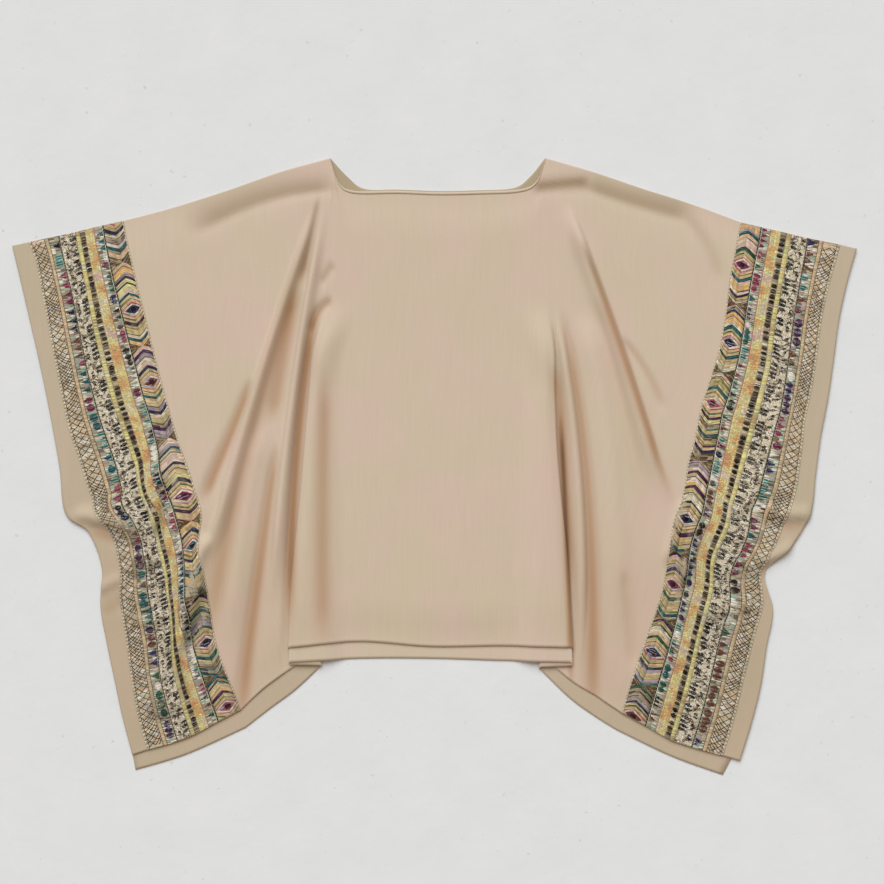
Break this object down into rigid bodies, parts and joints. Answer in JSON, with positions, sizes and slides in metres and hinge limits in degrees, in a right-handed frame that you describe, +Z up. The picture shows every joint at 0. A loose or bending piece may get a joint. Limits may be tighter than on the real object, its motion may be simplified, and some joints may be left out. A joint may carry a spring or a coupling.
{
  "type": "poncho",
  "caption": "One-size poncho top of thin crepe with wide wings, a boat neck and embroidered side borders, laid flat on its back with its sides tucked in.",
  "frame": {"origin": "centre of the bounding box on the surface that the poncho lies on", "axes": "+X towards the wearer's left cuff, +Y towards the neck, +Z up out of the front"},
  "size_m": [1.183, 0.864, 0.0187],
  "materials": {
    "crepe": "beige viscose crepe with a soft, slightly matt face",
    "embroidery": "dense thread embroidery in many colours on beige cloth",
    "binding": "beige crepe strip, turned and topstitched"
  },
  "bodies": {
    "root": {"front": "crepe", "back": "crepe", "border_right": "embroidery", "border_left": "embroidery", "neck_binding": "binding"}
  },
  "joints": []
}
